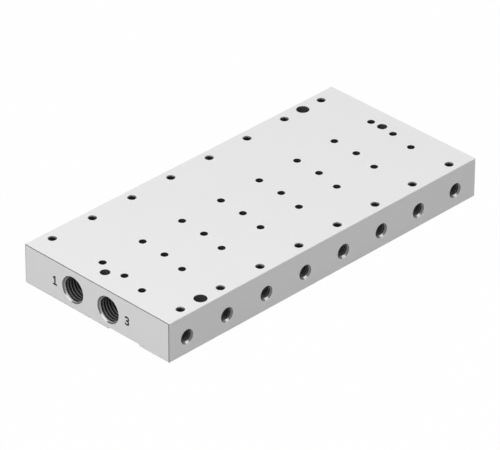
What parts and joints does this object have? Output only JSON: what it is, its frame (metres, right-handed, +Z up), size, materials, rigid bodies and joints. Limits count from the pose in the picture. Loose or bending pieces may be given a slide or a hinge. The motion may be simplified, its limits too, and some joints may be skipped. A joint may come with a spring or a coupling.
{
  "type": "manifold block",
  "caption": "Flat rectangular aluminium manifold block with a row of valve stations, threaded outlet ports along one side and supply and exhaust ports in one end.",
  "frame": {"origin": "centre of the underside", "axes": "+X along the row of valves, from the end with ports 1 and 3 to the plain end; +Y away from the outlet ports, which are on the -Y side; +Z up, out of the valve face"},
  "size_m": [0.1478, 0.069, 0.0152],
  "materials": {
    "satin_aluminium": "fine satin, clear anodised"
  },
  "bodies": {
    "root": {"manifold_block": "satin_aluminium"}
  },
  "joints": []
}
